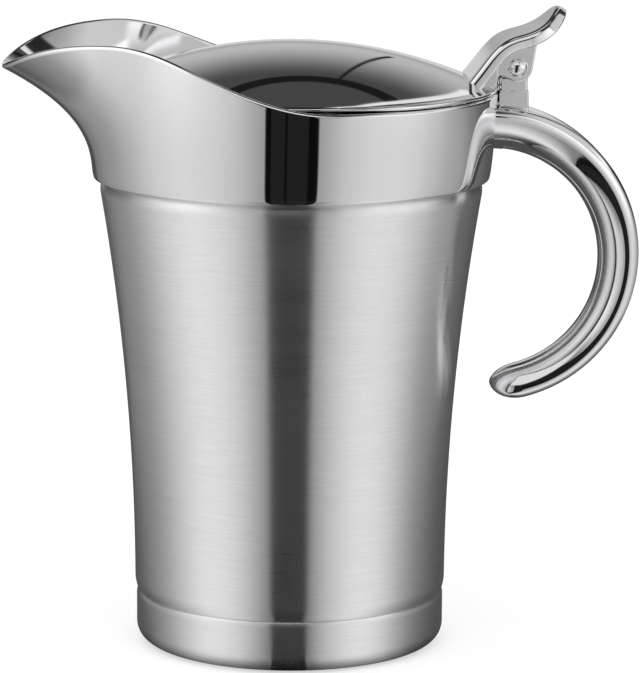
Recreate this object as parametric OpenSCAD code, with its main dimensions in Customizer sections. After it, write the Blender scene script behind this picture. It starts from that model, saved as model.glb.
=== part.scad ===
// Insulated gravy boat with a hinged lid: a double-walled steel body, a polished collar drawn out
// into a wide spout, a domed lid with a thumb lever, and a hollow C-shaped handle.
// Millimetres, +Z up. The origin is on the body's axis, at the plane the foot stands on.
// The spout points along -X and the handle along +X.

/* [Base] */
// Outer radius of the base cap
base_r = 40.1; // [38:0.1:44]
// Height of the base cap, up to the lower seam
base_h = 13.6; // [12:0.1:18]
// Radius of the rounded bottom edge
base_fillet = 4.7; // [3:0.1:6]
// Width of the ring that the foot stands on
foot_w = 5; // [3:0.5:9]
// Depth of the recess inside the foot ring
recess_h = 1.6; // [0.8:0.1:3]

/* [Outer wall] */
// Outer radius of the wall at the collar joint
wall_r_top = 49.9; // [48:0.1:54]
// Height of the collar joint above the table
joint_z = 122.2; // [110:0.1:135]
// How far the wall stands proud of the base cap at the lower seam
seam_step = 0.2; // [0.1:0.05:0.5]
// Width of the groove at each seam
seam_w = 0.35; // [0.2:0.05:0.6]
// Thickness of the steel sheet
sheet = 0.8; // [0.6:0.05:1]
// Length of the hidden lap where one skin slips into the next
lap = 4; // [3:0.1:5]

/* [Inner cup] */
// Air gap between the outer wall and the inner cup
air_gap = 4.2; // [3:0.1:6]
// Height of the inner cup's underside above the table
cup_z = 14.5; // [14:0.1:20]
// Radius of the inner cup's bottom edge
cup_fillet = 8; // [5:0.5:14]

/* [Collar and spout] */
// How far the collar's lower edge stands proud of the wall
collar_step = 1.05; // [0.6:0.05:1.5]
// Height of the collar, from the joint to the level part of the rim
collar_h = 22.5; // [20:0.1:28]
// How much the collar widens up to the rim
rim_flare = 2.05; // [1.5:0.05:3]
// How far the spout's tip reaches beyond the round rim
spout_reach = 20.9; // [16:0.1:26]
// Half of the angle that the spout takes up around the rim
spout_half_angle = 58; // [50:1:66]
// Height of the spout's shoulders above the level rim
shoulder_rise = 14.7; // [10:0.1:18]
// How far the rim dips from the shoulders to the spout's tip
tip_dip = 8.2; // [4:0.1:10]

/* [Lid] */
// Radial play between the lid's edge and the mouth
lid_play = 1.4; // [1.2:0.1:2]
// Gap between the closed lid and the rim
lid_seat = 0.3; // [0.2:0.05:0.6]
// Thickness of the lid's edge
lid_edge = 1; // [0.9:0.1:1.6]
// Height of the dome above the lid's edge
dome_h = 10.9; // [9:0.1:14]
// Half of the angle over which the lid's edge lies on the rim
ledge_half_angle = 70; // [50:1:76]

/* [Hinge and lever] */
// Distance from the rim's outer edge back to the pin
pin_back = 4.6; // [4.2:0.1:6]
// Height of the pin above the level rim
pin_up = 6.3; // [5.5:0.1:8]
// Radius of the hinge pin
pin_r = 1.5; // [1:0.1:1.8]
// Radius of the pin's domed heads
head_r = 2.6; // [2.3:0.1:3.2]
// Height of the pin's domed heads
head_h = 1.7; // [1:0.1:2.2]
// Width of the post between the ears
post_w = 8; // [6:0.5:10]
// Half of the post's thickness, front to back
post_half = 2.9; // [2.5:0.1:3]
// Thickness of each ear
ear_t = 3; // [2:0.1:4]
// Radius of the ear around the pin
ear_r = 3.8; // [3.4:0.1:4]
// Width of the thumb lever at its foot
lever_w = 24; // [22:0.5:28]
// Thickness of the thumb lever
lever_t = 3.5; // [3:0.1:3.8]
// How far the lever reaches forward of the pin
lever_front = 12.6; // [11.5:0.1:14]
// Height of the lever's hump above the pin
lever_hump = 8.6; // [8.4:0.1:10]
// How far the lever's tip lies behind the pin
tip_back = 10.3; // [9:0.1:13]
// Height of the lever's tip above the pin
tip_up = 15.8; // [14:0.1:19]

/* [Handle] */
// Radius of the handle's outer edge
handle_outer_r = 38.8; // [36:0.1:40]
// Radius of the handle's inner edge
handle_inner_r = 28.7; // [26:0.1:30]
// How far the top of the handle lies below the level rim
handle_drop = 3.7; // [3.4:0.1:5]
// How much the handle thins from its top to its tip
handle_taper = 3.2; // [3:0.1:6]
// Width of the handle at its root
handle_w = 20; // [16:0.5:24]
// Width of the handle at its tip
handle_tip_w = 15; // [12:0.5:18]
// Wall thickness of the hollow handle
handle_wall = 1.2; // [0.8:0.1:1.5]
// Thickness of the pad between handle and collar, at its middle
pad_t = 1.4; // [1:0.1:2.5]

/* [Hidden] */
$fn = 96;

brushed = "#b9babc";
polished = "#d6d8da";
inside = "#c4c6c8";

// Clearances: a slip joint, a seat between fixed pieces, a running fit and the skins at the rim
slip = 0.2;
seat = 0.05;
running = 0.05;
rim_gap = 0.1;

// Segments of a rounded edge, of a long curve, around the mouth and up the collar
edge_n = 8;
curve_n = 16;
mouth_n = 80;
collar_n = 12;

// Outer wall: an arc that leaves the lower seam upright
seam_z = base_h + seam_w;
wall_r_low = base_r + seam_step;
flare_dz = joint_z - seam_z;
flare_dr = wall_r_top - wall_r_low;
flare_r = (flare_dz * flare_dz + flare_dr * flare_dr) / (2 * flare_dr);
low_neck_r = base_r - sheet - slip;
low_neck_z = base_h - lap;

// Collar, lining and rim
collar_r = wall_r_top + collar_step;
rim_r = collar_r + rim_flare;
rim_z = joint_z + collar_h;
bead_r = sheet + rim_gap / 2;
top_neck_r = collar_r - sheet - slip;
cup_top_r = wall_r_top - sheet - air_gap;
low_gap = collar_r - 2 * sheet - cup_top_r - slip;

// Shape of the collar's wall, of the spout's flare and of the gap between the skins
flare_power = 0.6;
spout_power = 2.25;
spout_start = 0.1;
bump_power = 3;
gap_power = 2.5;

// Angles from the spout at which the rim starts to rise, is at its highest and dips to the tip
rise_from = 99;
rise_to = 33;
dip_angle = 18;

// Lid
lid_r = rim_r - 2 * sheet - lid_play;
lid_z = rim_z + lid_seat;
lid_top_z = lid_z + lid_edge;
hem_w = 1.6;
dome_r = (lid_r * lid_r + dome_h * dome_h) / (2 * dome_h);
dome_z = lid_top_z + dome_h - dome_r;

// Hinge
pin_x = rim_r + pin_back;
pin_z = rim_z + pin_up;
pin_end = post_w / 2 + running + ear_t + seat;
bore_r = pin_r + running;
bracket_half = 8;
bracket_gap = 1.5;
bracket_back = pin_x - ear_r - bracket_gap;
ear_front = bracket_back + seat;
ear_spread = 1.2;
ear_drop = 1.8;
toe_angle = -112;
post_front = rim_r + slip;
web_drop = 2.7;
foot_lip = 0.35;

// Slopes of the lever at its lower end, at its hump and at its tip, and how far each slope holds
low_slope = 50.5;
hump_slope = 13.7;
tip_slope = 56;
low_pull = 8.8;
hump_pull = 6.8;
rise_pull = 6;
tip_pull = 4;
hump_x = 0.46;
low_drop = 11.55;
lever_root = 3;

// The lever's round end, its thickness there and where it starts to thin
end_r = 10.6;
tip_t = 3.4;
thin_from = 1.5;
lever_n = 20;

// Handle: the outer and inner edges are circles with their own centres
centre_out = 1.2;
inner_in = 0.1;
handle_x = wall_r_top + centre_out;
inner_x = handle_x - inner_in;
outer_cz = rim_z - handle_drop - handle_outer_r;
inner_cz = outer_cz - handle_taper / 2;
pad_x = rim_r + pad_t;
root_angle = 82;
tip_angle = -75.5;
end_angle = -88.5;
end_sweep = 82;
handle_n = 22;
end_n = 6;
strip_cut = 62;
strip_gap = 1.5;

// Handle section: a flat crown with round corners, widest near it, then round flanks to a narrow strip
widest = 0.745;
crown_power = 40;
flank_power = 1.6;
strip_share = 0.95;
strip_power = 14;
shell_n = 34;
strip_n = 9;
pad_n = 48;

// Smallest half-size of a section, steps for slopes, and how far a cut runs past a face
least_half = 0.2;
slope_step = 0.03;
cup_lead = 1;
over = 1;

function arc(cx, cz, r, from, to, n = edge_n) =
    [for (i = [0:n]) let (a = from + (to - from) * i / n) [cx + r * cos(a), cz + r * sin(a)]];

function reversed(list) = [for (i = [len(list) - 1:-1:0]) list[i]];

function ease(x) = x <= 0 ? 0 : x >= 1 ? 1 : (1 - cos(180 * x)) / 2;

function wall_radius(z) = wall_r_low + flare_r - sqrt(flare_r * flare_r - pow(z - seam_z, 2));

// Points up the flared wall between two heights, set in by a distance
function wall_points(z0, z1, inset) =
    [for (i = [0:curve_n]) let (z = z0 + (z1 - z0) * i / curve_n) [wall_radius(z) - inset, z]];

// Collar and spout: a is the angle from the spout, s runs from the joint (0) to the rim (1)
function bump(a) = abs(a) < spout_half_angle ? pow(cos(90 * a / spout_half_angle), bump_power) : 0;

function skin_top(a) =
    rim_z - bead_r
    + shoulder_rise * ease((rise_from - abs(a)) / (rise_from - rise_to))
    - tip_dip * exp(-pow(a / dip_angle, 2));

function skin_r(a, s) =
    collar_r + rim_flare * pow(s, flare_power)
    + spout_reach * bump(a) * pow(max(0, s - spout_start) / (1 - spout_start), spout_power);

function skin_z(a, s) = joint_z + (skin_top(a) - joint_z) * s;

function skin_dir(a, s) =
    let (
        s0 = max(0, s - slope_step),
        s1 = min(1, s + slope_step),
        d = [skin_r(a, s1) - skin_r(a, s0), skin_z(a, s1) - skin_z(a, s0)]
    ) d / norm(d);

// Radius and height of the point that lies a depth inside the collar's face
function skin(a, s, depth) =
    let (t = skin_dir(a, s)) [skin_r(a, s) - depth * t[1], skin_z(a, s) + depth * t[0] * s];

function skin_gap(s) = rim_gap + (low_gap - rim_gap) * pow(1 - s, gap_power);

function around(a, p) = [-p[0] * cos(a), p[0] * sin(a), p[1]];

function mouth_angle(i) = -180 + 360 * i / mouth_n;

// Lever: two cubic curves that meet at the hump, given from the pin
function heading(a) = [cos(a), sin(a)];

function bezier(p, q, r, s, t) =
    pow(1 - t, 3) * p + 3 * t * pow(1 - t, 2) * q + 3 * t * t * (1 - t) * r + pow(t, 3) * s;

lever_low = [-lever_front, lever_hump - low_drop];
lever_mid = [hump_x, lever_hump];
lever_tip = [tip_back, tip_up];

function lever_top(u) =
    u < 1
        ? bezier(lever_low, lever_low + low_pull * heading(low_slope),
                 lever_mid - hump_pull * heading(hump_slope), lever_mid, u)
        : bezier(lever_mid, lever_mid + rise_pull * heading(hump_slope),
                 lever_tip - tip_pull * heading(tip_slope), lever_tip, u - 1);

function lever_dir(u) =
    let (d = lever_top(min(2, u + slope_step)) - lever_top(max(0, u - slope_step))) d / norm(d);

function lever_under(u) =
    let (d = lever_dir(u), t = lever_t - (lever_t - tip_t) * ease((u - thin_from) / (2 - thin_from)))
    lever_top(u) + t * [d[1], -d[0]];

lever_steps = [for (i = [0:lever_n]) 2 * i / lever_n];
lever_line = [for (u = lever_steps) lever_top(u)];
under_line = [for (u = lever_steps) lever_under(u)];

// Points from the tip back, closer together near the tip, and the way along the lever to each
tip_line = [for (i = [0:lever_n]) lever_top(2 - 2 * pow(i / lever_n, 2))];

function from_tip(i) = i == 0 ? 0 : from_tip(i - 1) + norm(tip_line[i] - tip_line[i - 1]);

lever_length = from_tip(lever_n);

function lever_half(d) =
    d < end_r
        ? sqrt(end_r * end_r - pow(end_r - d, 2))
        : end_r + (lever_w / 2 - end_r) * (d - end_r) / (lever_length - end_r);

lever_edge = [for (i = [0:lever_n]) [tip_line[i] * heading(tip_slope), lever_half(from_tip(i))]];

// Handle: a is the angle round the C, from its top; f is the share of the way to the tip
function edge_point(a, r, cx, cz) = [cx + r * cos(a), cz + r * sin(a)];

function handle_share(a) = (90 - a) / (90 - tip_angle);

function handle_half_w(a) = (handle_w + (handle_tip_w - handle_w) * min(1, handle_share(a))) / 2;

// Half-breadth of the section at a share of its depth: outside the widest line, then inside it
function crown_half(share, half_w, corner) =
    (half_w - corner) * sqrt(1 - pow(share, crown_power)) + corner * sqrt(1 - share * share);

function flank_half(share, half_w) =
    half_w * pow(1 - pow(strip_share * share, flank_power), 1 / flank_power)
        * pow(1 - pow(share, strip_power), 1 / strip_power);

// Section of the handle at one angle, between two angles round the section, set in by a depth
function handle_arc(a, from, to, n, depth, close) =
    let (
        o = edge_point(a, handle_outer_r, handle_x, outer_cz),
        i = edge_point(a, handle_inner_r, inner_x, inner_cz),
        thick = close * norm(o - i),
        out = (o - i) / norm(o - i),
        mid = (o + i) / 2 + out * thick * (widest - 0.5),
        half_w = max(least_half, close * handle_half_w(a) - depth),
        outer_t = max(least_half, thick * (1 - widest) - depth),
        inner_t = max(least_half, thick * widest - depth)
    )
    [for (k = [0:n])
        let (
            q = from + (to - from) * k / n,
            share = sin(q),
            inner = share < 0,
            w = inner ? flank_half(-share, half_w) : crown_half(share, half_w, min(outer_t, half_w)),
            p = mid + out * share * (inner ? inner_t : outer_t)
        )
        [a > root_angle ? pad_x : p[0], w * sign(cos(q)), p[1]]];

function handle_ring(a, from, to, n, close) = concat(
    handle_arc(a, from, to, n, 0, close),
    handle_arc(a, to, from, n, handle_wall, close)
);

// Rings of a handle piece: the root on its pad, the C, then the rounded end
function handle_rings(from, to, n) = concat(
    [handle_ring(90, from, to, n, 1)],
    [for (i = [0:handle_n])
        handle_ring(root_angle + (tip_angle - root_angle) * i / handle_n, from, to, n, 1)],
    [for (i = [1:end_n])
        let (e = sin(end_sweep * i / end_n))
        handle_ring(tip_angle + (end_angle - tip_angle) * e, from, to, n, sqrt(1 - e * e))]
);

// Skin through a row of closed outlines, with its ends joined up or capped
module loft(rings, joined = false, other_way = false) {
    n = len(rings[0]);
    m = len(rings);
    last = joined ? m - 1 : m - 2;
    sides = [
        for (i = [0:last])
            for (j = [0:n - 1])
                let (
                    a = i * n + j,
                    b = i * n + (j + 1) % n,
                    c = ((i + 1) % m) * n + (j + 1) % n,
                    d = ((i + 1) % m) * n + j
                )
                each (other_way ? [[a, b, d], [b, c, d]] : [[a, b, c], [a, c, d]])
    ];
    ends = joined ? [] : [
        [for (j = [n - 1:-1:0]) j],
        [for (j = [0:n - 1]) (m - 1) * n + j]
    ];
    polyhedron(points = [for (ring = rings) each ring], faces = concat(sides, ends));
}

// Outline in the XZ plane, from the pin, given a width along Y
module across(width) {
    translate([pin_x, width / 2, pin_z])
        rotate([90, 0, 0])
            linear_extrude(height = width)
                children();
}

module along_pin(y) {
    translate([pin_x, y, pin_z])
        rotate([-90, 0, 0])
            children();
}

module dome_ball(grow) {
    translate([0, 0, dome_z])
        sphere(r = dome_r + grow, $fn = 180);
}

module base_cap() {
    foot_out = base_r - base_fillet;
    foot_in = foot_out - foot_w;
    color(brushed)
        rotate_extrude()
            polygon(concat(
                [[0, recess_h], [foot_in - recess_h, recess_h], [foot_in, 0]],
                arc(foot_out, base_fillet, base_fillet, -90, 0),
                [[base_r, base_h], [base_r - sheet, base_h]],
                arc(foot_out, base_fillet, base_fillet - sheet, 0, -90),
                [[foot_in, sheet], [foot_in - recess_h, recess_h + sheet], [0, recess_h + sheet]]
            ));
}

module shell_bottom() {
    rim = low_neck_r - sheet - slip;
    color(inside)
        rotate_extrude()
            polygon([
                [0, low_neck_z], [rim, low_neck_z], [rim, low_neck_z + lap],
                [rim - sheet, low_neck_z + lap], [rim - sheet, low_neck_z + sheet],
                [0, low_neck_z + sheet]
            ]);
}

module outer_shell() {
    round_r = 0.4;
    top_z = joint_z - seam_w;
    color(brushed)
        rotate_extrude()
            polygon(concat(
                [[low_neck_r - sheet, low_neck_z], [low_neck_r, low_neck_z], [low_neck_r, seam_z]],
                [[wall_r_low - round_r, seam_z]],
                wall_points(seam_z + round_r, top_z - round_r, 0),
                [[top_neck_r, top_z], [top_neck_r, joint_z + lap], [top_neck_r - sheet, joint_z + lap]],
                [[top_neck_r - sheet, top_z - round_r]],
                reversed(wall_points(seam_z + sheet, top_z - sheet - round_r, sheet)),
                [[low_neck_r - sheet, seam_z + sheet]]
            ));
}

module liner_cup() {
    inset = sheet + air_gap;
    low_r = wall_radius(cup_z + cup_fillet) - inset;
    color(inside)
        rotate_extrude()
            polygon(concat(
                [[0, cup_z]],
                arc(low_r - cup_fillet, cup_z + cup_fillet, cup_fillet, -90, 0),
                wall_points(cup_z + cup_fillet + cup_lead, joint_z, inset),
                [[cup_top_r, joint_z + lap], [cup_top_r - sheet, joint_z + lap]],
                reversed(wall_points(cup_z + cup_fillet + cup_lead, joint_z, inset + sheet)),
                arc(low_r - cup_fillet, cup_z + cup_fillet, cup_fillet - sheet, 0, -90),
                [[0, cup_z + sheet]]
            ));
}

// One skin of the collar: depths of its outer face, worked out along the height
function skin_ring(a, lining) = concat(
    [for (j = [0:collar_n])
        let (s = j / collar_n) around(a, skin(a, s, lining ? sheet + skin_gap(s) : 0))],
    [for (j = [collar_n:-1:0])
        let (s = j / collar_n) around(a, skin(a, s, lining ? 2 * sheet + skin_gap(s) : sheet))]
);

module spout_collar() {
    color(polished)
        loft([for (i = [0:mouth_n - 1]) skin_ring(mouth_angle(i), false)], joined = true);
}

module spout_lining() {
    color(inside)
        loft([for (i = [0:mouth_n - 1]) skin_ring(mouth_angle(i), true)], joined = true);
}

function bead_ring(a) =
    let (
        outer = skin(a, 1, 0),
        inner = skin(a, 1, 2 * sheet + rim_gap),
        mid = (outer + inner) / 2,
        side = outer - mid,
        up = bead_r * skin_dir(a, 1)
    )
    [for (p = concat(
        [inner, skin(a, 1, sheet + rim_gap), skin(a, 1, sheet), outer],
        [for (k = [1:edge_n - 1]) mid + side * cos(180 * k / edge_n) + up * sin(180 * k / edge_n)]
    )) around(a, p)];

module rim_bead() {
    color(polished)
        loft([for (i = [0:mouth_n - 1]) bead_ring(mouth_angle(i))], joined = true, other_way = true);
}

module lid_dome() {
    ledge_in = lid_r - hem_w;
    color(polished)
        union() {
            rotate_extrude()
                intersection() {
                    translate([0, dome_z])
                        difference() {
                            circle(r = dome_r, $fn = 360);
                            circle(r = dome_r - sheet, $fn = 360);
                        }
                    translate([0, lid_z])
                        square([lid_r, dome_h + lid_edge + over]);
                }
            rotate_extrude()
                translate([ledge_in, lid_z])
                    square([hem_w, lid_edge]);
            rotate([0, 0, -ledge_half_angle])
                rotate_extrude(angle = 2 * ledge_half_angle)
                    translate([ledge_in, lid_z])
                        square([rim_r - ledge_in, lid_edge]);
        }
}

module lid_liner() {
    color(inside)
        translate([0, 0, lid_z])
            cylinder(r = lid_r - hem_w - slip, h = sheet);
}

module lid_bracket() {
    back = bracket_back - pin_x;
    low = lid_top_z + seat - pin_z;
    round_r = 2;
    line = [for (p = under_line) if (p[0] < back - slip) p];
    last = line[len(line) - 1];
    next = under_line[len(line)];
    top = last + (next - last) * (back - last[0]) / (next[0] - last[0]);
    color(polished)
        difference() {
            across(2 * bracket_half)
                polygon(concat(
                    [[line[0][0], low]],
                    line,
                    [top],
                    arc(back - round_r, low + round_r, round_r, 0, -90)
                ));
            dome_ball(seat);
        }
}

module thumb_lever() {
    low_end = lever_root * heading(low_slope + 180);
    foot = [-tip_back - tip_up, lever_w / 2];
    reach = tip_back + tip_up;
    color(polished)
        difference() {
            intersection() {
                across(lever_w)
                    polygon(concat(
                        [lever_line[0] + low_end],
                        lever_line,
                        reversed(under_line),
                        [under_line[0] + low_end]
                    ));
                translate([pin_x, 0, pin_z])
                    rotate([0, -tip_slope, 0])
                        translate([0, 0, -reach])
                            linear_extrude(height = 2 * reach)
                                polygon(concat(
                                    lever_edge,
                                    [foot, [foot[0], -foot[1]]],
                                    [for (i = [lever_n:-1:1]) [lever_edge[i][0], -lever_edge[i][1]]]
                                ));
            }
            dome_ball(seat);
            translate([0, 0, lid_z])
                cylinder(r = pin_x, h = lid_edge + seat);
        }
}

module lever_ears() {
    front = ear_front - pin_x;
    back = ear_r + ear_spread;
    line = [for (p = under_line) if (p[0] > front + slip && p[0] < back - slip) p];
    first = [for (p = under_line) if (p[0] <= front + slip) p];
    before = first[len(first) - 1];
    start = before + (line[0] - before) * (front - before[0]) / (line[0][0] - before[0]);
    after = under_line[len(first) + len(line)];
    last = line[len(line) - 1];
    stop = last + (after - last) * (back - last[0]) / (after[0] - last[0]);
    color(polished)
        for (side = [-1, 1])
            translate([0, side * (post_w / 2 + running + ear_t / 2), 0])
                across(ear_t)
                    difference() {
                        union() {
                            circle(r = ear_r);
                            polygon(concat(
                                [[front, -ear_drop], start],
                                line,
                                [stop, [ear_r, 0], [0, 0], ear_r * heading(toe_angle)]
                            ));
                        }
                        circle(r = bore_r);
                    }
}

// Domed head that stands on the plane z = 0
module pin_head() {
    ball_r = (head_r * head_r + head_h * head_h) / (2 * head_h);
    rotate_extrude()
        intersection() {
            translate([0, head_h - ball_r])
                circle(r = ball_r);
            square([head_r, head_h]);
        }
}

module hinge_pin() {
    color(polished)
        union() {
            along_pin(-pin_end)
                cylinder(r = pin_r, h = 2 * pin_end + head_h / 2);
            along_pin(-pin_end)
                mirror([0, 0, 1])
                    pin_head();
        }
}

module pin_cap() {
    color(polished)
        difference() {
            along_pin(pin_end)
                pin_head();
            along_pin(pin_end - over)
                cylinder(r = bore_r, h = over + head_h / 2 + running);
        }
}

module hinge_post() {
    depth = pin_z - outer_cz;
    color(polished)
        difference() {
            union() {
                across(post_w)
                    union() {
                        circle(r = post_half);
                        translate([-post_half, -depth])
                            square([2 * post_half, depth]);
                        translate([post_front - pin_x, -depth])
                            square([pin_x - post_front, depth - web_drop]);
                    }
                across(post_w + 2 * foot_lip)
                    translate([post_front - pin_x, -depth])
                        square([pin_x - post_front + post_half + foot_lip, depth - pin_up]);
            }
            along_pin(-post_w)
                cylinder(r = bore_r, h = 2 * post_w);
            translate([handle_x, post_w, outer_cz])
                rotate([90, 0, 0])
                    cylinder(r = handle_outer_r + seat, h = 2 * post_w, $fn = 360);
        }
}

module handle_pad() {
    root = handle_arc(90, 0, 360 - 360 / pad_n, pad_n - 1, 0, 1);
    color(polished)
        difference() {
            translate([wall_r_top - lap, 0, 0])
                rotate([90, 0, 90])
                    linear_extrude(height = pad_x - seat - wall_r_top + lap)
                        polygon([for (p = root) [p[1], p[2]]]);
            translate([0, 0, joint_z])
                cylinder(r1 = collar_r + rim_flare / 2, r2 = rim_r + slip, h = collar_h, $fn = 360);
        }
}

module handle_shell() {
    color(polished)
        loft(handle_rings(-strip_cut, 180 + strip_cut, shell_n));
}

module handle_strip() {
    color(polished)
        loft(handle_rings(180 + strip_cut + strip_gap, 360 - strip_cut - strip_gap, strip_n));
}

base_cap();
shell_bottom();
outer_shell();
liner_cup();
spout_collar();
spout_lining();
rim_bead();
lid_dome();
lid_liner();
lid_bracket();
thumb_lever();
lever_ears();
hinge_pin();
pin_cap();
hinge_post();
handle_pad();
handle_shell();
handle_strip();
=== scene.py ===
import math

import bpy
from mathutils import Matrix, Vector


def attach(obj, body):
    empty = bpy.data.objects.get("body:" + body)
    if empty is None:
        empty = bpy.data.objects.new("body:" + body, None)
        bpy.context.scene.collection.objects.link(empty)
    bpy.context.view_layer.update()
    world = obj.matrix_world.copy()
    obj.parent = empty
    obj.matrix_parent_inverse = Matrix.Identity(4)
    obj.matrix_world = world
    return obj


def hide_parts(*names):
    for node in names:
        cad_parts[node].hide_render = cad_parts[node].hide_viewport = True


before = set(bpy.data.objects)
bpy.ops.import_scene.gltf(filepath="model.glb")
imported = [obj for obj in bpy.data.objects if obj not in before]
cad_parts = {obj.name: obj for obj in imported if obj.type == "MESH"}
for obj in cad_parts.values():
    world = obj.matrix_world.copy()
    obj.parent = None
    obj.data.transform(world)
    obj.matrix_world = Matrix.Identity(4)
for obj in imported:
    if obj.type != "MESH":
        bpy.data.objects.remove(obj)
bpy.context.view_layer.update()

MM = 0.001

# Sizes of the pieces, in millimetres, degrees and shares
BASE_R, BASE_H, BASE_FILLET, FOOT_W, RECESS_H = 40.1, 13.6, 4.7, 5.0, 1.6
WALL_R_TOP, JOINT_Z, SEAM_STEP, SEAM_W, SHEET, LAP = 49.9, 122.2, 0.4, 0.35, 0.8, 4.0
AIR_GAP, CUP_Z, CUP_FILLET = 4.2, 14.5, 8.0
COLLAR_STEP, COLLAR_H, RIM_FLARE, FLARE_POWER = 1.05, 22.5, 2.05, 0.6
SPOUT_REACH, SPOUT_HALF, SPOUT_START, SPOUT_POWER, BUMP_POWER = 20.9, 58.0, 0.1, 2.25, 3
SHOULDER_RISE, RISE_FROM, RISE_TO, TIP_DIP, DIP_ANGLE = 14.7, 99.0, 33.0, 8.2, 18.0
LID_PLAY, LID_SEAT, LID_EDGE, DOME_H, LEDGE_HALF, HEM_W = 1.4, 0.3, 1.0, 10.9, 70.0, 1.6
PIN_BACK, PIN_UP, HEAD_R, HEAD_H = 4.6, 6.3, 2.6, 1.7
POST_W, POST_HALF, WEB_DROP, FOOT_LIP = 8.0, 2.9, 2.7, 0.35
EAR_T, EAR_R, EAR_SPREAD, EAR_DROP, TOE_ANGLE = 3.0, 3.8, 1.2, 1.8, -112.0
BRACKET_HALF, BRACKET_GAP = 8.0, 1.5
LEVER_W, LEVER_T, LEVER_FRONT, LEVER_HUMP, LEVER_ROOT = 24.0, 3.5, 12.6, 8.6, 3.0
LEVER_END_R, LEVER_TIP_T, THIN_FROM, TIP_BACK, TIP_UP = 10.6, 3.4, 1.5, 10.3, 15.8
LOW_SLOPE, HUMP_SLOPE, TIP_SLOPE, HUMP_X, LOW_DROP = 50.5, 13.7, 56.0, 0.46, 11.55
LOW_PULL, HUMP_PULL, RISE_PULL, TIP_PULL = 8.8, 6.8, 6.0, 4.0
HANDLE_OUTER_R, HANDLE_INNER_R, HANDLE_DROP, HANDLE_TAPER = 38.8, 28.7, 3.7, 3.2
HANDLE_W, HANDLE_TIP_W, HANDLE_WALL, PAD_T = 20.0, 15.0, 1.2, 1.4
CENTRE_OUT, INNER_IN, HANDLE_INSET = 1.2, 0.1, 0.08
ROOT_ANGLE, TIP_ANGLE, END_ANGLE, STRIP_CUT, STRIP_GAP = 82.0, -75.5, -88.5, 62.0, 1.6
WIDEST, CROWN_POWER, FLANK_POWER, STRIP_SHARE, STRIP_POWER = 0.745, 40, 1.6, 0.95, 14
SLIP, SEAT, RUNNING, RIM_GAP, GAP_POWER = 0.2, 0.05, 0.05, 0.1, 2.5

SEAM_Z = BASE_H + SEAM_W
WALL_R_LOW = BASE_R + SEAM_STEP
FLARE_DZ = JOINT_Z - SEAM_Z
FLARE_DR = WALL_R_TOP - WALL_R_LOW
FLARE_R = (FLARE_DZ ** 2 + FLARE_DR ** 2) / (2 * FLARE_DR)
COLLAR_R = WALL_R_TOP + COLLAR_STEP
RIM_R = COLLAR_R + RIM_FLARE
RIM_Z = JOINT_Z + COLLAR_H
BEAD_R = SHEET + RIM_GAP / 2
CUP_TOP_R = WALL_R_TOP - SHEET - AIR_GAP
LOW_GAP = COLLAR_R - 2 * SHEET - CUP_TOP_R - SLIP
LID_R = RIM_R - 2 * SHEET - LID_PLAY
LID_Z = RIM_Z + LID_SEAT
LID_TOP_Z = LID_Z + LID_EDGE
DOME_R = (LID_R ** 2 + DOME_H ** 2) / (2 * DOME_H)
DOME_Z = LID_TOP_Z + DOME_H - DOME_R
PIN_X = RIM_R + PIN_BACK
PIN_Z = RIM_Z + PIN_UP
PIN_END = POST_W / 2 + RUNNING + EAR_T + SEAT
BRACKET_BACK = -EAR_R - BRACKET_GAP
HANDLE_X = WALL_R_TOP + CENTRE_OUT
INNER_X = HANDLE_X - INNER_IN
OUTER_CZ = RIM_Z - HANDLE_DROP - HANDLE_OUTER_R
INNER_CZ = OUTER_CZ - HANDLE_TAPER / 2
PAD_X = RIM_R + PAD_T

# Rows of the meshes, the innermost ring of turned pieces, and the angles that are shaded smooth
MOUTH, COLLAR_ROWS, HIDDEN_ROWS = 256, 56, 24
AXIS_R = 0.02
SMOOTH, SMOOTH_LID, SMOOTH_LEVER, SMOOTH_ROUND = 32, 40, 45, 50


def cosd(a):
    return math.cos(math.radians(a))


def sind(a):
    return math.sin(math.radians(a))


def ease(x):
    return (1 - cosd(180 * min(1.0, max(0.0, x)))) / 2


def spaced(start, end, n):
    return [start + (end - start) * i / n for i in range(n + 1)]


def arc(cx, cz, r, start, end, n):
    return [(cx + r * cosd(a), cz + r * sind(a)) for a in spaced(start, end, n)]


def metres(x, y, z):
    return Vector((x * MM, y * MM, z * MM))


# Modelling helpers: each starts from a primitive, in object mode with nothing selected

def clear_selection():
    if bpy.context.mode != "OBJECT":
        bpy.ops.object.mode_set(mode="OBJECT")
    bpy.ops.object.select_all(action="DESELECT")


def named(name):
    piece = bpy.context.object
    piece.name = name
    piece.data.name = name
    return piece


def close_up(piece, weld=0.002, caps=False, smooth=SMOOTH):
    """Merges doubled points, fills open ends, turns the faces outwards and smooths flat angles."""
    clear_selection()
    piece.select_set(True)
    bpy.context.view_layer.objects.active = piece
    bpy.ops.object.mode_set(mode="EDIT")
    bpy.ops.mesh.select_all(action="SELECT")
    bpy.ops.mesh.remove_doubles(threshold=weld * MM)
    bpy.ops.mesh.dissolve_degenerate(threshold=weld * MM)
    if caps:
        bpy.ops.mesh.select_all(action="SELECT")
        bpy.ops.mesh.fill_holes(sides=0)
    bpy.ops.mesh.select_all(action="SELECT")
    bpy.ops.mesh.normals_make_consistent(inside=False)
    bpy.ops.object.mode_set(mode="OBJECT")
    bpy.ops.object.shade_smooth_by_angle(angle=math.radians(smooth))
    return piece


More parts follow.
